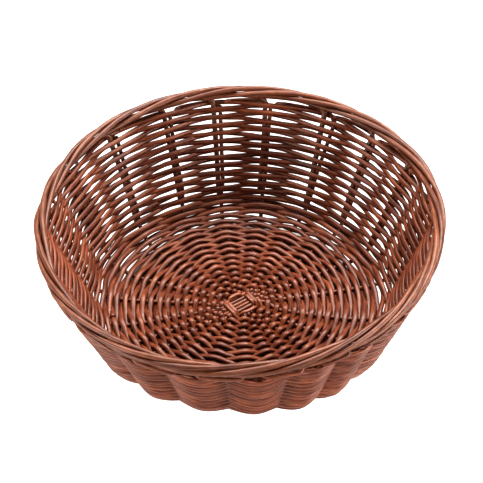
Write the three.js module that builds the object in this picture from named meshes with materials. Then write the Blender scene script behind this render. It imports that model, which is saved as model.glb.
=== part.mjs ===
// A round woven fruit basket, Z up, in millimetres.
// Ten sticks cross in the middle of the base, five over five, and fan out to twenty spokes. A half
// stick pushed in beside them makes the number odd, so that one weaver passes over and under them in
// turn, all the way from the slath to the rim. It is joined up from lengths of cane. The spokes turn
// up into the wall and end under the rim. Twenty-one side stakes stand beside them and bend over at
// the top to make the rolled border. The origin is at the centre of the base, on the surface that the
// basket stands on.
import * as THREE from "three";

// Driving dimensions: millimetres and degrees.
const RIM_DIAMETER = 250; // outside of the border
const HEIGHT = 80;
const BASE_DIAMETER = 180; // where the lines of the base and the wall would meet
const SPOKES = 21;
const FIRST_SPOKE = -2.6; // direction of the first spoke from +X
const STICK_WIDTH = 2.6;
const STICK_THICKNESS = 2.2;
const STRAND_WIDTH = 2.25; // of a weaver, along the surface that it weaves
const STRAND_THICKNESS = 2;
const BASE_SWING = 2.65; // from the middle of the weave to a weaver's centre line
const WALL_SWING = 2.95; // the same where the stakes stand in pairs
const BASE_PITCH = 2.75; // from one row to the next
const WALL_PITCH = 2.62;
const CORNER_RADIUS = 17; // of the spokes' bend from the base into the wall

// The rolled border: four strands at every place, wound round a ring.
const BORDER_STRAND_RADIUS = 1.25;
const BORDER_COIL_RADIUS = 2.05;
const BORDER_STEP = 5.7; // degrees round the rim
const BORDER_STEPS = 11;
const COIL_PER_DEGREE = 5; // turn round the ring for each degree round the rim
const STAKE_BEND_RADIUS = 3.4;
const STAKE_BEND_STEP = 30; // degrees
const PAIR_OFFSET = 1.45; // sideways, of the spoke one way and the side stake the other

// The slath, the cross in the middle of the base.
const SLATH_DIRECTION = 36;
const GROUP = 5; // sticks that lie side by side in the slath
const HALF_STICK = 15; // the spoke that the half stick makes, in the third group
const HALF_STICK_START = 18.5; // from the centre
const SLATH_HALF = 8; // how far its sticks lie parallel
const FAN_RADIUS = 24; // where the spokes reach their own directions
const SLATH_PITCH = 2.25;
const SLATH_STICK_SCALE = 0.75; // the sticks are pared thinner in the middle
const SLATH_LIFT = 1.25; // upper sticks above the middle of the weave, lower ones below
const DOME_RISE = 1.2; // the middle of the base stands clear of the table
const DOME_INNER = 18;
const DOME_OUTER = 45;
const BINDER_WIDTH = 1.6;
const BINDER_PITCH = 2.35;
const BINDER_FIRST = 7.2; // from the centre to the first binder
const BINDER_CORNER = 7.8;
const BINDER_CORNER_PITCH = 2.0;
const BINDER_CLEARANCE = 1.6; // from the middle of the last stick in a group
const BINDER_SPAN = 1.5; // beyond a binder's middle, where the group is as wide as at its ends
const BINDER_PULL = 0.35; // the first binder is pulled this much closer to the sticks
const FAN_STATIONS = [8, 11, 14, 16, 18, 21, 24, 45]; // where a stick's path bends, from the centre

// Where the rows and the stakes begin and end, measured along the weave from the centre of the base.
const BASE_WEAVE_START = 23.2;
const BASE_WEAVE_BEFORE_CORNER = 0.8;
const WALL_WEAVE_AFTER_CORNER = 2.0; // after the start of the corner
const BASE_LENGTHS = 2; // lengths of cane in the base weave
const WALL_LENGTHS = 4;
const FLAT_PASS_RADIUS = 45; // inside this, a weaver runs level over the spokes as well as under
const FLAT_PASS_HALF = 1.5;
const SIDE_STAKE_START = 110;
const SPOKE_SHIFT_START = 101; // a spoke makes room for its side stake over this stretch
const SPOKE_SHIFT_END = 109;
const WALL_WEAVE_BELOW_RIM = 6.6;
const SPOKE_BELOW_RIM = 3.2;
const JOIN_GAP = 1.0; // where one length of the weaver takes over from another

const SPACING = 360 / SPOKES;
const BASE_MIDDLE = BASE_SWING + STRAND_THICKNESS / 2; // height of the middle of the weave
const BORDER_RADIUS = BORDER_COIL_RADIUS + BORDER_STRAND_RADIUS;
const RIM_RADIUS = RIM_DIAMETER / 2 - BORDER_RADIUS;
const RIM_HEIGHT = HEIGHT - BORDER_RADIUS;
const LEAN = Math.atan2(RIM_RADIUS - BASE_DIAMETER / 2, RIM_HEIGHT - BASE_MIDDLE);
const CORNER_TURN = Math.PI / 2 - LEAN;
const CORNER_TANGENT = CORNER_RADIUS * Math.tan(CORNER_TURN / 2);
const CORNER_START = BASE_DIAMETER / 2 - CORNER_TANGENT;
const CORNER_END = CORNER_START + CORNER_RADIUS * CORNER_TURN;
const WALL_LENGTH = Math.hypot(RIM_RADIUS - BASE_DIAMETER / 2, RIM_HEIGHT - BASE_MIDDLE);
const WEAVE_LENGTH = CORNER_END + WALL_LENGTH - CORNER_TANGENT;

const radians = THREE.MathUtils.degToRad;
const clamp = THREE.MathUtils.clamp;
const smoothstep = THREE.MathUtils.smoothstep;

const rattan = (color, roughness) => new THREE.MeshStandardMaterial({ color, roughness, metalness: 0 });
const stickMaterial = rattan(0x7c4a3b, 0.5);
const weaverMaterial = rattan(0x8d5a48, 0.45);
const borderMaterial = rattan(0x9a6855, 0.45);

// A point and the surface's directions at a distance s along the weave and a direction round it.
// "along" runs outwards and up the wall, and "inside" points into the basket.
function surface(s, direction) {
  const angle = radians(direction);
  const outwards = new THREE.Vector3(Math.cos(angle), Math.sin(angle), 0);
  const upwards = new THREE.Vector3(0, 0, 1);
  const turn = clamp((s - CORNER_START) / CORNER_RADIUS, 0, CORNER_TURN);
  let radius = Math.min(s, CORNER_START) + CORNER_RADIUS * Math.sin(turn);
  let height = BASE_MIDDLE + CORNER_RADIUS * (1 - Math.cos(turn));
  const up = Math.max(s - CORNER_END, 0);
  radius += up * Math.cos(CORNER_TURN);
  height += up * Math.sin(CORNER_TURN);
  height += DOME_RISE * clamp((DOME_OUTER - s) / (DOME_OUTER - DOME_INNER), 0, 1);
  const along = outwards.clone().multiplyScalar(Math.cos(turn)).addScaledVector(upwards, Math.sin(turn));
  const inside = outwards.clone().multiplyScalar(-Math.sin(turn)).addScaledVector(upwards, Math.cos(turn));
  const sideways = new THREE.Vector3().crossVectors(upwards, outwards);
  const at = outwards.multiplyScalar(radius).addScaledVector(upwards, height);
  return { at, along, inside, sideways };
}

// 0 in the slath, 1 where the spokes have fanned out.
const fanned = (radius) => smoothstep(radius, SLATH_HALF, FAN_RADIUS);

// The first spoke of each of the four groups round the slath. The half stick is the last of the third.
const firstOfGroup = [0, GROUP, 2 * GROUP, 3 * GROUP + 1];

// Direction of spoke k at a radius, for any whole k. The first group is one end of the upper sticks.
function spokeDirection(k, radius) {
  const turns = Math.floor(k / SPOKES);
  const spoke = k - turns * SPOKES;
  const group = firstOfGroup.findLastIndex((first) => first <= spoke);
  const side = (spoke - firstOfGroup[group] - (GROUP - 1) / 2) * SLATH_PITCH;
  const reach = Math.max(radius, SLATH_HALF);
  const parallel = SLATH_DIRECTION + 90 * group + THREE.MathUtils.radToDeg(Math.asin(side / reach));
  const own = FIRST_SPOKE + SPACING * spoke;
  return 360 * turns + THREE.MathUtils.lerp(parallel, own, fanned(radius));
}

// A path with its vertices where the stations are. Each vertex is mitred between its two segments.
class Strand extends THREE.Curve {
  constructor(stations) {
    super();
    this.stations = stations;
  }

  getPoint(t) {
    return this.stations[Math.round(t * (this.stations.length - 1))].at.clone();
  }

  getUtoTmapping(u) {
    return u;
  }

  computeFrenetFrames() {
    const frames = { tangents: [], normals: [], binormals: [] };
    const last = this.stations.length - 1;
    this.stations.forEach(({ at, facing, scale = 1 }, i) => {
      const before = at.clone().sub(this.stations[Math.max(i - 1, 0)].at).normalize();
      const after = this.stations[Math.min(i + 1, last)].at.clone().sub(at).normalize();
      const tangent = before.clone().add(after).normalize();
      const binormal = facing.clone().addScaledVector(tangent, -facing.dot(tangent)).normalize();
      const normal = new THREE.Vector3().crossVectors(binormal, tangent);
      const bend = after.clone().sub(before).normalize();
      const mitre = i > 0 && i < last ? 1 / tangent.dot(after) - 1 : 0;
      frames.tangents.push(tangent);
      frames.normals.push(normal.addScaledVector(bend, mitre * normal.dot(bend)).multiplyScalar(scale));
      frames.binormals.push(binormal.addScaledVector(bend, mitre * binormal.dot(bend)).multiplyScalar(scale));
    });
    return frames;
  }
}

// A section with flat sides, "across" wide in the strand's normal and "tall" in the facing direction.
function section(sides, across, tall) {
  const corners = Array.from({ length: sides }, (_, i) => {
    const angle = (2 * Math.PI * i) / sides;
    return new THREE.Vector2((Math.cos(angle) * across) / 2, (Math.sin(angle) * tall) / 2);
  });
  return new THREE.Shape(corners);
}

function rectangle(across, tall) {
  const corner = (x, y) => new THREE.Vector2((x * across) / 2, (y * tall) / 2);
  return new THREE.Shape([corner(1, 1), corner(-1, 1), corner(-1, -1), corner(1, -1)]);
}

const stickSection = section(6, STICK_WIDTH, STICK_THICKNESS);
const weaverSection = rectangle(STRAND_THICKNESS, STRAND_WIDTH);
const binderSection = rectangle(BINDER_WIDTH, BINDER_WIDTH);
const stakeSection = section(5, 2 * BORDER_STRAND_RADIUS, 2 * BORDER_STRAND_RADIUS);

const basket = new THREE.Group();

function addStrand(name, shape, stations, material) {
  const path = new Strand(stations);
  const geometry = new THREE.ExtrudeGeometry(shape, { steps: stations.length - 1, extrudePath: path });
  const mesh = new THREE.Mesh(geometry, material);
  mesh.name = name;
  basket.add(mesh);
}

// One end of a stick, from a distance from the centre to its tip under the border.
function stickEnd(k, from) {
  const lift = k < GROUP || (k >= 2 * GROUP && k <= HALF_STICK) ? SLATH_LIFT : -SLATH_LIFT;
  const station = (s, sideOffset = 0) => {
    const { at, inside, sideways } = surface(s, spokeDirection(k, s));
    const spread = fanned(s);
    at.addScaledVector(inside, lift * (1 - spread)).addScaledVector(sideways, sideOffset);
    return { at, facing: inside, scale: THREE.MathUtils.lerp(SLATH_STICK_SCALE, 1, spread) };
  };
  const corner = [0, 1, 2, 3].map((i) => CORNER_START + (i / 3) * (CORNER_END - CORNER_START));
  return [
    ...FAN_STATIONS.filter((s) => s >= from).map((s) => station(s)),
    ...corner.map((s) => station(s)),
    station(SPOKE_SHIFT_START),
    station(SPOKE_SHIFT_END, -PAIR_OFFSET),
    station(WEAVE_LENGTH - SPOKE_BELOW_RIM, -PAIR_OFFSET),
  ];
}

const numbered = (name, number) => `${name}_${String(number).padStart(2, "0")}`;

for (let stick = 0; stick < 2 * GROUP; stick++) {
  // A stick's two ends lie on the same line through the slath, on opposite sides of the middle.
  const group = Math.floor(stick / GROUP);
  const oppositeEnd = firstOfGroup[group + 2] + (GROUP - 1 - (stick % GROUP));
  const stations = [...stickEnd(stick, 0).reverse(), ...stickEnd(oppositeEnd, 0)];
  addStrand(numbered("spoke_stick", stick + 1), stickSection, stations, stickMaterial);
}
const halfStick = stickEnd(HALF_STICK, HALF_STICK_START);
addStrand(numbered("spoke_stick", 2 * GROUP + 1), stickSection, halfStick, stickMaterial);

// A binder runs round the slath: over the groups of one set of sticks and under the other.
function addBinder(name, firstRow, overQuarter, sides) {
  const stations = [];
  for (let side = 0; side < sides; side++) {
    const row = firstRow + side / 4;
    const reach = BINDER_FIRST + BINDER_PITCH * row;
    const radius = reach + BINDER_SPAN;
    const corner = BINDER_CORNER + BINDER_CORNER_PITCH * row;
    const first = spokeDirection(firstOfGroup[side % 4], radius);
    const last = spokeDirection(firstOfGroup[side % 4] + GROUP - 1, radius);
    const axis = radians((first + last) / 2);
    const { at: middle } = surface(DOME_INNER, 0);
    const outwards = new THREE.Vector3(Math.cos(axis), Math.sin(axis), 0);
    const sideways = new THREE.Vector3(-Math.sin(axis), Math.cos(axis), 0);
    const width = radius * Math.sin(radians(last - first) / 2) + BINDER_CLEARANCE;
    const closeSwing = BASE_SWING - BINDER_PULL + SLATH_LIFT * (1 - fanned(radius));
    const swing = firstRow === 0 ? closeSwing : BASE_SWING;
    const height = (side + overQuarter) % 2 === 0 ? swing : -swing;
    const add = (out, across, rise) => {
      const at = outwards.clone().multiplyScalar(out).addScaledVector(sideways, across);
      at.z = middle.z + rise;
      stations.push({ at, facing: new THREE.Vector3(0, 0, 1) });
    };
    add(reach, -width, height);
    add(reach, width, height);
    if (side < sides - 1) add(corner, corner, 0);
  }
  addStrand(name, binderSection, stations, weaverMaterial);
}

addBinder("slath_binder_a", 0, 0, 8);
addBinder("slath_binder_b", 2, 1, 6);

// The weaver's passes over one spoke after another, from one distance along the weave to another. It
// passes a spoke on the inside of the basket and the next one on the outside.
function weaverStations(from, to, pitch, firstPass, swingAt, flatHalfAt) {
  const stations = [];
  const passes = Math.floor((SPOKES * (to - from)) / pitch);
  for (let pass = 0; pass <= passes; pass++) {
    const s = from + (pitch * pass) / SPOKES;
    const direction = spokeDirection(firstPass + pass, s);
    const isInside = (firstPass + pass) % 2 === 0;
    const swing = isInside ? swingAt(s) : -swingAt(s);
    const flatHalf = flatHalfAt(s, isInside);
    const offsets = flatHalf > 0 ? [-flatHalf, flatHalf] : [0];
    offsets.forEach((offset) => {
      const turned = direction + THREE.MathUtils.radToDeg(offset / s);
      const { at, along, inside } = surface(s, turned);
      stations.push({ at: at.addScaledVector(inside, swing), facing: along });
    });
  }
  return stations;
}

// The level passes under the spokes are what the basket stands on.
const baseFlat = (s, isInside) => (s < FLAT_PASS_RADIUS || !isInside ? FLAT_PASS_HALF : 0);
const baseSwing = () => BASE_SWING;
const wallSwing = (s) =>
  THREE.MathUtils.lerp(BASE_SWING, WALL_SWING, smoothstep(s, CORNER_END, SIDE_STAKE_START));
const noFlat = () => 0;

// A station's place, moved a little towards another station.
function movedTowards(station, other, distance) {
  const step = other.at.clone().sub(station.at).setLength(distance);
  return { ...station, at: station.at.clone().add(step) };
}

// The weave is joined up from lengths of cane, each ending a little before the next one begins.
function addLengths(name, stations, lengths) {
  const passes = stations.length - 1;
  const joins = Array.from({ length: lengths + 1 }, (_, i) => Math.round((i * passes) / lengths));
  for (let i = 0; i < lengths; i++) {
    const part = stations.slice(joins[i], joins[i + 1] + 1);
    const last = part.length - 1;
    if (i > 0) part[0] = movedTowards(part[0], part[1], JOIN_GAP / 2);
    if (i < lengths - 1) part[last] = movedTowards(part[last], part[last - 1], JOIN_GAP / 2);
    addStrand(numbered(name, i + 1), weaverSection, part, weaverMaterial);
  }
}

const baseWeaveEnd = CORNER_START - BASE_WEAVE_BEFORE_CORNER;
const wallWeaveStart = CORNER_START + WALL_WEAVE_AFTER_CORNER;
const wallWeaveEnd = WEAVE_LENGTH - WALL_WEAVE_BELOW_RIM;
const base = weaverStations(BASE_WEAVE_START, baseWeaveEnd, BASE_PITCH, 0, baseSwing, baseFlat);
const wall = weaverStations(wallWeaveStart, wallWeaveEnd, WALL_PITCH, GROUP, wallSwing, noFlat);
addLengths("base_weaver", base, BASE_LENGTHS);
addLengths("wall_weaver", wall, WALL_LENGTHS);

// A side stake stands beside a spoke, bends over at the rim and winds along it as one border strand:
// up the outside, over the top and down the inside.
function sideStakeStations(k) {
  const direction = FIRST_SPOKE + SPACING * k;
  const bendStart = WEAVE_LENGTH - BORDER_COIL_RADIUS - STAKE_BEND_RADIUS;
  const stations = [];
  const add = (s, sideOffset) => {
    const { at, inside, sideways } = surface(s, direction);
    stations.push({ at: at.addScaledVector(sideways, sideOffset), facing: inside });
  };
  add(SIDE_STAKE_START, PAIR_OFFSET);
  for (let i = 0; i < 3; i++) {
    const turn = radians(STAKE_BEND_STEP * i);
    const sideOffset = PAIR_OFFSET + STAKE_BEND_RADIUS * (1 - Math.cos(turn));
    add(bendStart + STAKE_BEND_RADIUS * Math.sin(turn), sideOffset);
  }
  const coilStart = direction + THREE.MathUtils.radToDeg((PAIR_OFFSET + STAKE_BEND_RADIUS) / RIM_RADIUS);
  for (let i = 0; i <= BORDER_STEPS; i++) {
    const along = coilStart + BORDER_STEP * i;
    const { at, along: up, inside } = surface(WEAVE_LENGTH, along);
    const phase = radians(COIL_PER_DEGREE * BORDER_STEP * i);
    at.addScaledVector(up, -BORDER_COIL_RADIUS * Math.cos(phase));
    at.addScaledVector(inside, -BORDER_COIL_RADIUS * Math.sin(phase));
    stations.push({ at, facing: inside });
  }
  return stations;
}

for (let k = 0; k < SPOKES; k++) {
  addStrand(numbered("side_stake", k + 1), stakeSection, sideStakeStations(k), borderMaterial);
}

export default basket;
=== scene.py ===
"""The looks of a woven fruit basket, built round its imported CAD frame. Metres, +Z up.

Every strand of cane is swept along its own path over and under the others. A place in the weave is
given by s, the distance along the weave from the centre of the base, and by an angle round it.
"""
import math

import bpy
import numpy as np
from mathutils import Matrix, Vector


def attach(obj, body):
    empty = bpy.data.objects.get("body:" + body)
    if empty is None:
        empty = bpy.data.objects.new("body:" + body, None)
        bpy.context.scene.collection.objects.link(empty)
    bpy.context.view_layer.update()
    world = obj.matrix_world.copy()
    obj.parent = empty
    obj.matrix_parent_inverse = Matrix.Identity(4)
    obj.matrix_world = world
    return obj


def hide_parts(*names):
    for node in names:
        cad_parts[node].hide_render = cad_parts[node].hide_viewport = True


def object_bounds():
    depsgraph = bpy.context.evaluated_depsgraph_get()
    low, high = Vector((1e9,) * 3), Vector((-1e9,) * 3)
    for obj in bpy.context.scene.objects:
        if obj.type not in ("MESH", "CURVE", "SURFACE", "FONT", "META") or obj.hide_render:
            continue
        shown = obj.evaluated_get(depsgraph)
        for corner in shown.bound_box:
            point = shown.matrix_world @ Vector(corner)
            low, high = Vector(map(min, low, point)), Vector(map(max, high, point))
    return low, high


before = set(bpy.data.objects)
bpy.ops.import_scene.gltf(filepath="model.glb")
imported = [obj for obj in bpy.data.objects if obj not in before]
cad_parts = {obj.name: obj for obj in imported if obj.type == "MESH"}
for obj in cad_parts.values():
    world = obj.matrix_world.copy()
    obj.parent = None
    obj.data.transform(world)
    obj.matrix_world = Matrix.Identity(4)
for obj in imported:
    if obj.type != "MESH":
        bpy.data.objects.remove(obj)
cad_low, cad_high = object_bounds()

MM = 0.001
TURN = 2 * math.pi

# ---------------------------------------------------------------- driving dimensions
RIM_DIAMETER = cad_high.x - cad_low.x
HEIGHT = cad_high.z
BASE_DIAMETER = 180 * MM  # where the lines of the base and the wall would meet
SPOKES = 21
GROUP = 5  # sticks side by side in the slath
HALF_STICK = 15  # the spoke that the half stick makes, the last of the third group
CORNER_RADIUS = 17 * MM
BORDER_STRAND = 3.35 * MM
BORDER_COIL = 2.45 * MM  # radius of the ring that the border strands wind round
COIL_RATE = 5  # turn round the ring for each turn round the rim
STICK_WIDTH = 2.6 * MM
STICK_THICKNESS = 2.2 * MM
WEAVER_WIDTH = 3.05 * MM  # along the surface that it weaves
WEAVER_THICKNESS = 2.3 * MM
BASE_THICKER = 1.1  # the weaver in the base, against the one in the wall
BASE_WIDER = 1.14
START_THICKER = 1.05  # the same two, where the weaver starts beside the slath
START_WIDER = 1.1
BASE_MIDDLE = 3.9 * MM  # height of the middle of the weave in the base
START_SWING = 2.1 * MM  # from the middle of the weave to a weaver's centre line
BASE_SWING = 2.3 * MM
WALL_SWING = 2.7 * MM
OUTER_BULGE = 1.25 * MM  # the weaver stands this much further out where it passes outside a stake
BASE_PITCH = 2.72 * MM
WALL_PITCH = 2.62 * MM
BASE_ROUNDING = 0.88  # how sharply the weaver turns over a spoke: 1 is pointed, towards 0 is a sine
WALL_ROUNDING = 0.68
PAIR_OFFSET = 1.45 * MM
TAIL_BELOW_RIM = 5.7 * MM  # where a spoke's tail runs outside, under the border
TAIL_BEND = 2.4 * MM
TAIL_OUT = 3.9 * MM
TAIL_END = 5.5 * MM  # short of the next stake
SIDE_STAKE_START = 106 * MM
STEP = 1.35 * MM  # between the rings of a swept strand

# The slath, the cross in the middle of the base.
SLATH_DIRECTION = math.radians(36)
SLATH_HALF = 8 * MM
FAN_RADIUS = 24 * MM
SLATH_PITCH = 2.6 * MM
SLATH_STICK_SCALE = 0.93
SLATH_LIFT = 1.2 * MM
HALF_STICK_START = 17 * MM
BINDER_WIDTH = 2.6 * MM
BINDER_THICKNESS = 2.0 * MM
BINDER_GROWTH = 2.0 * MM  # outwards in each turn
DOME_RISE = 1.2 * MM
DOME_INNER = 18 * MM
DOME_OUTER = 45 * MM
BASE_WEAVE_START = 11.0 * MM
WEAVE_BELOW_RIM = 6.2 * MM

BORDER_RADIUS = BORDER_COIL + BORDER_STRAND / 2
RIM_RADIUS = RIM_DIAMETER / 2 - BORDER_RADIUS
RIM_HEIGHT = HEIGHT - BORDER_RADIUS
FLARE = RIM_RADIUS - BASE_DIAMETER / 2
RISE = RIM_HEIGHT - BASE_MIDDLE
CORNER_TURN = math.atan2(RISE, FLARE)
CORNER_TANGENT = CORNER_RADIUS * math.tan(CORNER_TURN / 2)
CORNER_START = BASE_DIAMETER / 2 - CORNER_TANGENT
CORNER_END = CORNER_START + CORNER_RADIUS * CORNER_TURN
WEAVE_LENGTH = CORNER_END + math.hypot(FLARE, RISE) - CORNER_TANGENT


# ---------------------------------------------------------------- the surface of the weave
def smoothstep(x, low, high):
    """0 below low, 1 above high, and smooth between them."""
    t = np.clip((np.asarray(x, float) - low) / (high - low), 0, 1)
    return t * t * (3 - 2 * t)


def mix(a, b, t):
    return a + (b - a) * t


def surface(s, angle):
    """Points on the middle of the weave, with the directions up the wall, into the basket and round it."""
    s, angle = np.broadcast_arrays(np.asarray(s, float), np.asarray(angle, float))
    turn = np.clip((s - CORNER_START) / CORNER_RADIUS, 0, CORNER_TURN)
    up = np.maximum(s - CORNER_END, 0)
    radius = np.minimum(s, CORNER_START) + CORNER_RADIUS * np.sin(turn) + up * math.cos(CORNER_TURN)
    height = BASE_MIDDLE + CORNER_RADIUS * (1 - np.cos(turn)) + up * math.sin(CORNER_TURN)
    height = height + DOME_RISE * np.clip((DOME_OUTER - s) / (DOME_OUTER - DOME_INNER), 0, 1)
    cos, sin, zero = np.cos(angle), np.sin(angle), np.zeros_like(angle)
    at = np.stack([radius * cos, radius * sin, height], -1)
    along = np.stack([np.cos(turn) * cos, np.cos(turn) * sin, np.sin(turn)], -1)
    inside = np.stack([-np.sin(turn) * cos, -np.sin(turn) * sin, np.cos(turn)], -1)
    sideways = np.stack([-sin, cos, zero], -1)
    return at, along, inside, sideways


def waves(seed, count, low, high):
    """A smooth random function of one number, about -1 to 1, made of a few sine waves."""
    dice = np.random.default_rng(seed)
    rates = dice.uniform(low, high, count)
    phases = dice.uniform(0, TURN, count)
    heights = dice.uniform(0.5, 1, count)
    heights /= heights.sum() / 1.6

    def at(x):
        x = np.asarray(x, float)
        return (heights * np.sin(x[..., None] * rates + phases)).sum(-1)

    return at


# Directions of the spokes in the base and of the stakes in the wall, in degrees, as a hand sets them.
SPOKE_DIRECTIONS = (
    -9, 13, 31, 48, 66, 81, 99, 117, 137, 158, 175, 193, 206, 217, 232, 250, 273, 291, 304, 317, 334)
STAKE_DIRECTIONS = (
    -4, 12, 29, 46, 63, 82, 98, 114, 134, 154, 172, 188, 206, 222, 239, 257, 275, 291, 305, 321, 340)
FIRST_OF_GROUP = (0, GROUP, 2 * GROUP, 3 * GROUP + 1)
GROUP_OF = np.searchsorted(FIRST_OF_GROUP, np.arange(SPOKES), side="right") - 1
PLACE_IN_GROUP = np.arange(SPOKES) - np.take(FIRST_OF_GROUP, GROUP_OF)
MIDDLE_PLACE = (1.5, 2, 2.5, 2)  # the place in each group that points straight out of the slath
# The spoke and the stake of some pairs stand well apart at the top.
PAIR_SPREAD = np.random.default_rng(7).uniform(0, 0.8 * MM, SPOKES)
for wide_pair, spread in ((2, 1.6), (4, 4.5), (6, 1.5), (8, 1.4), (10, 1.0)):
    PAIR_SPREAD[wide_pair] += spread * MM
row_wander = waves(100, 3, 2, 7)


def spoke_angle(k, s):
    """Direction of spoke k (any whole numbers) at distances s from the centre."""
    turns, spoke = np.divmod(np.asarray(k), SPOKES)
    s = np.asarray(s, float)
    group = GROUP_OF[spoke]
    side = (PLACE_IN_GROUP[spoke] - np.take(MIDDLE_PLACE, group)) * SLATH_PITCH
    parallel = SLATH_DIRECTION + group * TURN / 4 + np.arcsin(side / np.maximum(s, SLATH_HALF))
    in_base = np.radians(np.take(SPOKE_DIRECTIONS, spoke))
    in_wall = np.radians(np.take(STAKE_DIRECTIONS, spoke))
    own = mix(in_base, in_wall, smoothstep(s, BASE_DIAMETER / 2 - 25 * MM, BASE_DIAMETER / 2 + 15 * MM))
    return TURN * turns + mix(parallel, own, smoothstep(s, SLATH_HALF, FAN_RADIUS))


# The hand-made shape: how far the rim stands off a true circle, once, twice and three times round.
RIM_OUT = ((0, 0.9 * MM, 0), (1, -0.6 * MM, -0.8 * MM), (2, -1.9 * MM, 1.6 * MM), (3, -0.2 * MM, 0.6 * MM))
LOW_OUT = ((5, 0.9 * MM, 0.9 * MM),)  # the same for the lower wall, just above the base
RIM_UP = ((1, 0.6 * MM, 0.1 * MM), (2, -0.5 * MM, -1.6 * MM))


def harmonics(terms, angle):
    """The sum of waves that go a whole number of times round."""
    return sum(a * np.cos(n * angle) + b * np.sin(n * angle) for n, a, b in terms)


def settle(points):
    """Take points from the even shape to the hand-made one. The base stays as it is."""
    angle = np.arctan2(points[:, 1], points[:, 0])
    lift = np.clip(points[:, 2] / HEIGHT, 0, 1)
    radius = np.hypot(points[:, 0], points[:, 1])
    moved = points.copy()
    low = smoothstep(radius, CORNER_START, BASE_DIAMETER / 2) * (1 - lift)
    out = harmonics(RIM_OUT, angle) * lift**1.5 + harmonics(LOW_OUT, angle) * low
    moved[:, :2] *= (1 + out / np.maximum(radius, FAN_RADIUS))[:, None]
    moved[:, 2] += harmonics(RIM_UP, angle) * lift**2
    return moved


# ---------------------------------------------------------------- swept strands
def unit(v):
    """The same directions, one unit long."""
    return v / np.maximum(np.linalg.norm(v, axis=-1, keepdims=True), 1e-12)


class Mesh:
    """Vertices and faces of swept strands, gathered into one object."""

    def __init__(self):
        self.points, self.grain, self.look, self.quads, self.caps = [], [], [], [], []
        self.count = 0

    def sweep(self, path, facing, across, tall, seed, wear_and_painted_light=0.0, sides=12):
        """A strand along path. facing is roughly the direction that its "tall" axis takes.

        The argument after seed is how much the side that faces that way is made paler, partly as rubbing
        wear and partly as a painted highlight, with the opposite side made darker as painted shade.
        """
        path = settle(path)
        n = len(path)
        dice = np.random.default_rng(seed)
        tangent = unit(np.gradient(path, axis=0))
        normal = unit(facing - (facing * tangent).sum(-1, keepdims=True) * tangent)
        side = np.cross(tangent, normal)
        length = np.concatenate([[0], np.cumsum(np.linalg.norm(np.diff(path, axis=0), axis=1))])
        swell = 1 + 0.05 * waves(seed, 4, 60, 400)(length)
        round_end = np.minimum(length, length[-1] - length) / (0.5 * tall)
        end = np.sqrt(np.clip(1 - (1 - np.clip(round_end, 0, 1)) ** 2, 0.35, 1))
        v = np.arange(sides) * TURN / sides
        oval, three_sided = dice.uniform(0, TURN), dice.uniform(0, TURN)
        lobes = 1 + 0.035 * np.cos(2 * v + oval) + 0.03 * np.cos(3 * v + three_sided)
        x = (0.5 * np.broadcast_to(across, n) * swell * end)[:, None] * (np.cos(v) * lobes)
        y = (0.5 * np.broadcast_to(tall, n) * swell * end)[:, None] * (np.sin(v) * lobes)
        points = path[:, None] + x[..., None] * side[:, None] + y[..., None] * normal[:, None]
        far = dice.uniform(0, 40)
        grain = np.stack(np.broadcast_arrays(
            (length[:, None] / MM + 17 * far), np.cos(v) * 1.2 + far, np.sin(v) * 1.2 - far), -1)
        tone = dice.uniform(-1, 1) * 0.5 + 0.5 * waves(seed + 5, 3, 8, 40)(length)
        # Painted highlight and painted shade, with some rubbing wear: paler on the side that faces that
        # way, darker on the opposite side.
        wear_and_painted_light_side = np.broadcast_to(wear_and_painted_light, n)[:, None] * np.sin(v)
        look = np.stack(np.broadcast_arrays(tone[:, None], wear_and_painted_light_side, np.zeros((n, sides))), -1)
        first = self.count + np.arange(n - 1)[:, None] * sides
        j = np.arange(sides)
        k = (j + 1) % sides
        quads = np.stack([first + j, first + sides + j, first + sides + k, first + k], -1)
        self.quads.append(quads.reshape(-1, 4))
        last = self.count + (n - 1) * sides
        self.caps += [list(self.count + j), list(last + j[::-1])]
        self.points.append(points.reshape(-1, 3))
        self.grain.append(grain.reshape(-1, 3))
        self.look.append(look.reshape(-1, 3))
        self.count += n * sides

    def build(self, name, material, nodes):
        """One object of all the strands swept so far, in place of the CAD nodes."""
        quads = np.concatenate(self.quads)
        faces = quads.tolist() + [list(map(int, cap)) for cap in self.caps]
        mesh = bpy.data.meshes.new(name)
        mesh.from_pydata(np.concatenate(self.points).tolist(), [], faces)
        mesh.shade_smooth()
        for label, values in (("grain", self.grain), ("look", self.look)):
            layer = mesh.attributes.new(label, "FLOAT_VECTOR", "POINT")
            layer.data.foreach_set("vector", np.concatenate(values).astype(np.float32).ravel())
        mesh.materials.append(material)
        piece = bpy.data.objects.new(name, mesh)
        bpy.context.scene.collection.objects.link(piece)
        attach(piece, "root")
        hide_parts(*nodes)


# ---------------------------------------------------------------- materials
def node(tree, kind, **values):
    """A new shader node. Each value goes to the input of that name, or else to the node's own setting."""
    made = tree.nodes.new(kind)
    for key, value in values.items():
        if key in made.inputs:
            made.inputs[key].default_value = value
        else:
            setattr(made, key, value)
    return made


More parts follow.
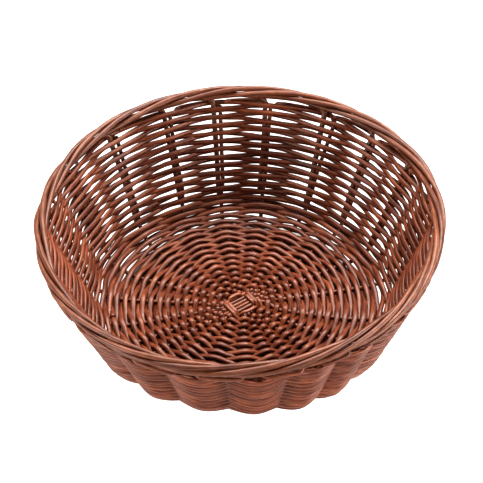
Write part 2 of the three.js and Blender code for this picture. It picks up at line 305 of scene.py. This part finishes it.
def cane(name, dark, middle, light, roughness):
    """Dyed cane: fine fibres along the strand, uneven dye, one side paler, partly rubbed and partly a
    painted highlight, and the other side darker as painted shade.
    """
    material = bpy.data.materials.new(name)
    material.use_nodes = True
    tree = material.node_tree
    tree.nodes.clear()
    link = tree.links.new
    output = node(tree, "ShaderNodeOutputMaterial")
    shader = node(tree, "ShaderNodeBsdfPrincipled")
    link(shader.outputs["BSDF"], output.inputs["Surface"])
    grain = node(tree, "ShaderNodeAttribute", attribute_name="grain")
    look = node(tree, "ShaderNodeAttribute", attribute_name="look")
    parts = node(tree, "ShaderNodeSeparateXYZ")
    link(look.outputs["Vector"], parts.inputs["Vector"])

    def fibres(scale, detail):
        stretch = node(tree, "ShaderNodeMapping", Scale=scale)
        noise = node(tree, "ShaderNodeTexNoise", Scale=1.0, Detail=detail, Roughness=0.6)
        link(grain.outputs["Vector"], stretch.inputs["Vector"])
        link(stretch.outputs["Vector"], noise.inputs["Vector"])
        return noise.outputs["Fac"]

    def arithmetic(operation, a, b, c=None):
        made = node(tree, "ShaderNodeMath", operation=operation)
        for socket, value in zip(made.inputs, (a, b, c)):
            if value is None:
                continue
            if isinstance(value, (int, float)):
                socket.default_value = value
            else:
                link(value, socket)
        return made.outputs[0]

    fine = fibres((0.06, 3.4, 3.4), 3.0)
    coarse = fibres((0.035, 0.9, 0.9), 2.0)
    blotch = fibres((0.12, 0.25, 0.25), 2.0)
    shade = arithmetic("MULTIPLY_ADD", fine, 0.8, -0.4)
    shade = arithmetic("ADD", shade, arithmetic("MULTIPLY_ADD", coarse, 0.5, 0.25))
    shade = arithmetic("ADD", shade, arithmetic("MULTIPLY_ADD", blotch, 0.4, -0.2))
    shade = arithmetic("ADD", shade, arithmetic("MULTIPLY", parts.outputs["X"], 0.10))
    # Painted highlight and painted shade, with some rubbing wear: the look attribute's Y makes one side of
    # a strand paler and the other darker.
    shade = arithmetic("ADD", shade, arithmetic("MULTIPLY", parts.outputs["Y"], 0.16))
    ramp = node(tree, "ShaderNodeValToRGB")
    ramp.color_ramp.elements[0].position = 0.2
    ramp.color_ramp.elements[0].color = (*dark, 1)
    ramp.color_ramp.elements[1].position = 0.8
    ramp.color_ramp.elements[1].color = (*light, 1)
    ramp.color_ramp.elements.new(0.5).color = (*middle, 1)
    link(shade, ramp.inputs["Fac"])
    link(ramp.outputs["Color"], shader.inputs["Base Color"])
    link(arithmetic("MULTIPLY_ADD", fine, 0.25, roughness - 0.12), shader.inputs["Roughness"])
    shader.inputs["Specular IOR Level"].default_value = 0.3
    shader.inputs["Coat Weight"].default_value = 0.05
    shader.inputs["Coat Roughness"].default_value = 0.28
    bump = node(tree, "ShaderNodeBump", Strength=0.7, Distance=0.12 * MM)
    link(arithmetic("ADD", fine, arithmetic("MULTIPLY", coarse, 0.6)), bump.inputs["Height"])
    link(bump.outputs["Normal"], shader.inputs["Normal"])
    return material


STICK = cane("stick_cane", (0.034, 0.005, 0.001), (0.112, 0.030, 0.011), (0.24, 0.082, 0.038), 0.44)
WEAVER_CANE = cane("weaver_cane", (0.034, 0.005, 0.001), (0.112, 0.029, 0.011), (0.24, 0.080, 0.037), 0.43)
BORDER_CANE = cane("border_cane", (0.038, 0.007, 0.002), (0.102, 0.033, 0.015), (0.215, 0.084, 0.045), 0.44)


# ---------------------------------------------------------------- spokes
def spoke_end(k, start=SLATH_HALF):
    """One end of a stick, from the slath up the wall, then bent over and tucked in at the next stake."""
    s = np.arange(start, WEAVE_LENGTH - TAIL_BELOW_RIM - TAIL_BEND, STEP)
    at, _, inside, sideways = surface(s, spoke_angle(np.full(len(s), k), s))
    spread = smoothstep(s, SLATH_HALF, FAN_RADIUS)
    lift = SLATH_LIFT if GROUP_OF[k] % 2 == 0 else -SLATH_LIFT
    aside = -PAIR_OFFSET * smoothstep(s, 95 * MM, SIDE_STAKE_START + 4 * MM)
    aside = aside - PAIR_SPREAD[k] * smoothstep(s, SIDE_STAKE_START, WEAVE_LENGTH + 20 * MM) * 1.3
    aside = aside + 0.35 * MM * waves(300 + k, 3, 40, 130)(s) * smoothstep(s, CORNER_END, SIDE_STAKE_START)
    at = at + inside * (lift * (1 - spread))[:, None] + sideways * aside[:, None]

    here, there = spoke_angle(np.array([k, k + 1]), np.array([WEAVE_LENGTH, WEAVE_LENGTH]))
    reach = RIM_RADIUS * (there - here) - aside[-1] - TAIL_END
    along = np.linspace(0.4 * TAIL_BEND, reach, round(reach / STEP))
    bend = 1 - smoothstep(along, 0, 2 * TAIL_BEND)
    rise = TAIL_BEND * (1 - bend) + 0.4 * MM * waves(330 + k, 3, 40, 130)(along) * (1 - bend)
    tuck = smoothstep(along, reach - 6 * MM, reach)
    out = TAIL_OUT * smoothstep(along, 0, 3 * TAIL_BEND) * (1 - 1.7 * tuck)
    place, up, inward, _ = surface(s[-1] + rise + 1.5 * MM * tuck, here + (aside[-1] + along) / RIM_RADIUS)
    tail = place - inward * out[:, None]
    scale = mix(SLATH_STICK_SCALE, 1, spread)
    return (np.concatenate([at, tail]), np.concatenate([inside, inward]),
            np.concatenate([scale, np.full(len(tail), 1.0)]))


def make_stick(number, path, facing, scale):
    """One spoke stick along its path."""
    mesh = Mesh()
    # 0.2: the inward side a little paler, partly rubbed and partly a painted highlight; the outer side
    #      darker as painted shade.
    mesh.sweep(path, facing, STICK_WIDTH * scale, STICK_THICKNESS * scale, 20 + number, 0.2)
    name = f"spoke_stick_{number:02d}"
    mesh.build(f"cane_{name}", STICK, [name])


def make_sticks():
    """Ten sticks that run right through the base, each making two spokes, and the half stick."""
    for stick in range(2 * GROUP):
        group = stick // GROUP
        opposite = FIRST_OF_GROUP[group + 2] + (GROUP - 1 - stick % GROUP)
        near, far = spoke_end(stick), spoke_end(opposite)
        across = np.linspace(0, 1, 12)[1:-1, None]
        middle = mix(near[0][0], far[0][0], across)
        up = np.repeat([[0.0, 0.0, 1.0]], len(middle), 0)
        path = np.concatenate([near[0][::-1], middle, far[0]])
        facing = np.concatenate([near[1][::-1], up, far[1]])
        scale = np.concatenate([near[2][::-1], np.full(len(middle), SLATH_STICK_SCALE), far[2]])
        make_stick(stick + 1, path, facing, scale)
    make_stick(2 * GROUP + 1, *spoke_end(HALF_STICK, HALF_STICK_START))


# ---------------------------------------------------------------- weavers
def weave(u, rounding):
    """1 where a weaver passes inside an even spoke, -1 where it passes outside an odd one."""
    return np.arcsin(rounding * np.cos(math.pi * u)) / np.arcsin(rounding)


def weaver_path(start, end, seed):
    """Points of the weaver's centre line. u counts the spokes that it has passed."""
    u, s = [0.0], [start]
    while s[-1] < end:
        pitch = BASE_PITCH if s[-1] < CORNER_START else WALL_PITCH
        around = min(s[-1], BASE_DIAMETER / 2 + 0.4 * max(s[-1] - CORNER_END, 0)) * TURN / SPOKES
        step = 1 / max(6, round(around / STEP))
        u.append(u[-1] + step)
        s.append(s[-1] + pitch * step / SPOKES)
    u, s = np.array(u), np.array(s)
    spoke = np.floor(u).astype(int)
    angle = mix(spoke_angle(spoke, s), spoke_angle(spoke + 1, s), u - spoke)
    wander = 0.5 * MM * row_wander(angle + 4 * s / WEAVE_LENGTH)
    jitter = 0.26 * MM * waves(seed, 5, 1, 5)(u) + 0.18 * MM * waves(seed + 1, 4, 5, 12)(u)
    calm = smoothstep(s, start, start + 6 * MM) * smoothstep(end - s, 0, 5 * MM)
    at, along, inside, _ = surface(s + (wander + jitter) * calm, angle)
    wave = weave(u, mix(BASE_ROUNDING, WALL_ROUNDING, smoothstep(s, CORNER_START, CORNER_END)))
    bulge = OUTER_BULGE * (1 - 0.5 * np.sin(angle)) * np.clip(-wave, 0, 1)
    bulge = bulge * smoothstep(s, CORNER_START + 4 * MM, SIDE_STAKE_START)
    offset = wave * swing(s) * (1 + 0.06 * waves(seed + 2, 4, 1, 6)(u)) - bulge
    return at + inside * offset[:, None], along, wave, s


def swing(s):
    """From the middle of the weave to a weaver's centre line, where it passes a spoke."""
    base = mix(START_SWING, BASE_SWING, smoothstep(s, BASE_WEAVE_START, 30 * MM))
    return mix(base, WALL_SWING, smoothstep(s, CORNER_END, SIDE_STAKE_START))


def make_weavers():
    """One weaver runs from the slath to the rim, joined up from six lengths of cane."""
    end = WEAVE_LENGTH - WEAVE_BELOW_RIM
    path, along, wave, s = weaver_path(BASE_WEAVE_START, end, 400)
    grown = smoothstep(s, BASE_WEAVE_START, 32 * MM)
    in_wall = smoothstep(s, CORNER_START, CORNER_END)
    press = 1 + 0.1 * (np.abs(wave) - 0.5)
    thick = WEAVER_THICKNESS * mix(mix(START_THICKER, BASE_THICKER, grown), 1, in_wall) * press
    wide = WEAVER_WIDTH * mix(mix(START_WIDER, BASE_WIDER, grown), 1, in_wall) * press
    wall_start = CORNER_START + 1.6 * MM
    joins = [0, 0.62 * wall_start, *np.linspace(wall_start, end, 5)]
    joins[-1] = 2 * end
    names = ["base_weaver_01", "base_weaver_02"] + [f"wall_weaver_{i:02d}" for i in range(1, 5)]
    for i, name in enumerate(names):
        part = slice(*np.searchsorted(s, joins[i:i + 2]))
        mesh = Mesh()
        mesh.sweep(path[part], along[part], thick[part], wide[part], 410 + 10 * i)
        mesh.build(f"cane_{name}", WEAVER_CANE, [name])


# ---------------------------------------------------------------- slath binders
def make_binders():
    """Two strands that run round the cross of sticks, over one set and under the other."""
    # letter, half the side of the square at the start in mm, turns, squareness, over (1) or under (-1)
    for letter, half, turns, squareness, sign in (("a", 6.1, 1.95, 6.0, 1), ("b", 6.9, 1.2, 2.3, -1)):
        phi = np.linspace(-0.7, TURN * turns, int(60 * turns))
        reach = half * MM + BINDER_GROWTH * np.maximum(phi, 0) / TURN
        square = np.abs(np.cos(phi)) ** squareness + np.abs(np.sin(phi)) ** squareness
        radius = reach * square ** (-1 / squareness)
        angle = SLATH_DIRECTION + phi
        climb = mix(3.1, 2.6, np.clip(reach / (10 * MM), 0, 1)) * MM
        rise = sign * climb * np.clip(1.7 * np.cos(2 * phi), -1, 1)
        height = BASE_MIDDLE + DOME_RISE + rise
        path = np.stack([radius * np.cos(angle), radius * np.sin(angle), height], -1)
        up = np.repeat([[0.0, 0.0, 1.0]], len(path), 0)
        mesh = Mesh()
        # 0.4: the top paler, partly rubbed and partly a painted highlight; the underside darker as painted
        #      shade.
        mesh.sweep(path, up, BINDER_WIDTH, BINDER_THICKNESS, 640 + sign, 0.4)
        mesh.build(f"cane_slath_binder_{letter}", WEAVER_CANE, [f"slath_binder_{letter}"])


# ---------------------------------------------------------------- side stakes and border
def make_side_stakes():
    """Each side stake stands beside its spoke, then bends over and winds along the rim."""
    bend = 3.4 * MM
    for k in range(SPOKES):
        stand = np.arange(SIDE_STAKE_START - 8 * MM, WEAVE_LENGTH - BORDER_COIL - bend, STEP)
        beside = PAIR_OFFSET + 0.3 * MM * waves(330 + k, 3, 40, 130)(stand)
        at, _, inside, sideways = surface(stand, spoke_angle(np.full(len(stand), k), stand))
        path, facing = [at + sideways * beside[:, None]], [inside]
        top_angle = spoke_angle(np.array([k]), np.array([WEAVE_LENGTH]))[0]
        turn = np.linspace(0, math.pi / 2, 5)[1:-1]
        aside = beside[-1] + bend * (1 - np.cos(turn))
        at, _, inside, sideways = surface(stand[-1] + bend * np.sin(turn), np.full(len(turn), top_angle))
        path.append(at + sideways * aside[:, None])
        facing.append(inside)
        start = top_angle + (beside[-1] + bend) / RIM_RADIUS
        phase = np.arange(0, math.radians(358), COIL_RATE * math.radians(0.62))
        along_rim = start + phase / COIL_RATE
        loose = 1 + 0.1 * waves(350 + k, 3, 0.6, 2)(phase) + 0.12 * np.sin(phase) ** 2
        at, up, inside, _ = surface(np.full(len(phase), WEAVE_LENGTH), along_rim)
        coil = BORDER_COIL * loose
        at = at - up * (coil * np.cos(phase))[:, None] - inside * (coil * np.sin(phase))[:, None]
        path.append(at)
        facing.append(inside)
        mesh = Mesh()
        thick = BORDER_STRAND * (1 + 0.06 * math.sin(5 * k))
        mesh.sweep(np.concatenate(path), np.concatenate(facing), thick, thick, 700 + k)
        name = f"side_stake_{k + 1:02d}"
        mesh.build(f"cane_{name}", BORDER_CANE, [name])


# ---------------------------------------------------------------- floor, lights and camera
DARK_FLOOR = 74 * MM  # the floor is painted dark as shade this far out from the centre
BRIGHT_FLOOR = 84 * MM  # and glows white from here on, as painted light


def make_floor():
    """A white table that glows, a painted light so it shows no shadow, and is painted dark as shade under
    the middle of the basket.
    """
    mesh = bpy.data.meshes.new("floor")
    half = 8.0
    corners = [(-half, -half, 0), (half, -half, 0), (half, half, 0), (-half, half, 0)]
    mesh.from_pydata(corners, [], [(0, 1, 2, 3)])
    material = bpy.data.materials.new("white_floor")
    material.use_nodes = True
    tree = material.node_tree
    shader = tree.nodes["Principled BSDF"]
    # A dark grey floor colour, so that where the floor does not glow, under the basket, it stands as
    # painted shade.
    shader.inputs["Base Color"].default_value = (0.09, 0.09, 0.09, 1)
    shader.inputs["Roughness"].default_value = 0.9
    shader.inputs["Emission Color"].default_value = (1, 1, 1, 1)
    # The glow is painted light, faded out to leave painted shade under the middle of the basket.
    place = node(tree, "ShaderNodeNewGeometry")
    distance = node(tree, "ShaderNodeVectorMath", operation="LENGTH")
    glow = node(tree, "ShaderNodeMapRange", interpolation_type="SMOOTHSTEP")
    glow.inputs["From Min"].default_value = DARK_FLOOR
    glow.inputs["From Max"].default_value = BRIGHT_FLOOR
    glow.inputs["To Min"].default_value = 0.0
    glow.inputs["To Max"].default_value = 1.0
    tree.links.new(place.outputs["Position"], distance.inputs[0])
    tree.links.new(distance.outputs["Value"], glow.inputs["Value"])
    tree.links.new(glow.outputs["Result"], shader.inputs["Emission Strength"])
    mesh.materials.append(material)
    floor = bpy.data.objects.new("floor", mesh)
    bpy.context.scene.collection.objects.link(floor)


def softbox(name, azimuth, elevation, power):
    """A soft square light, in degrees from +X and above the table, aimed at the basket."""
    light = bpy.data.lights.new(name, "AREA")
    light.size = 0.55
    light.energy = power
    turn, rise = math.radians(azimuth), math.radians(elevation)
    direction = Vector((math.cos(turn) * math.cos(rise), math.sin(turn) * math.cos(rise), math.sin(rise)))
    lamp = bpy.data.objects.new(name, light)
    lamp.location = 1.3 * direction + Vector((0, 0, 0.03))
    lamp.rotation_euler = direction.to_track_quat("Z", "Y").to_euler()
    bpy.context.scene.collection.objects.link(lamp)


def make_light():
    """Two large lights above and behind, weaker ones low at the sides and in front."""
    world = bpy.data.worlds.new("studio")
    bpy.context.scene.world = world
    world.use_nodes = True
    background = world.node_tree.nodes["Background"]
    background.inputs["Color"].default_value = (1, 1, 1, 1)
    background.inputs["Strength"].default_value = 0.045
    softbox("light_back_right", 60, 58, 29)
    softbox("light_back_left", 120, 58, 18)
    softbox("light_right", 0, 12, 6)
    softbox("light_front_left", 204, 12, 18)
    softbox("light_front_right", 336, 12, 19)
    softbox("light_front", 270, 38, 4.5)


def make_camera():
    """Seen from in front at 43.8 degrees, from 1.5 m, through a long lens."""
    camera = bpy.data.cameras.new("camera")
    camera.lens = 182.4
    camera.sensor_width = 36
    elevation = math.radians(43.8)
    distance = 1.5
    towards = Vector((0, -math.cos(elevation), math.sin(elevation)))
    upwards = Vector((0, math.sin(elevation), math.cos(elevation)))
    middle = Vector((0, 0, 0.035))
    eye = bpy.data.objects.new("camera", camera)
    eye.location = middle + distance * towards
    aim = middle + 17.9 * MM * upwards
    eye.rotation_euler = (aim - eye.location).to_track_quat("-Z", "Y").to_euler()
    bpy.context.scene.collection.objects.link(eye)
    bpy.context.scene.camera = eye


make_camera()
make_sticks()
make_weavers()
make_binders()
make_side_stakes()
make_floor()
make_light()
bpy.context.scene.view_settings.view_transform = "Standard"
bpy.context.scene.view_settings.look = "High Contrast"
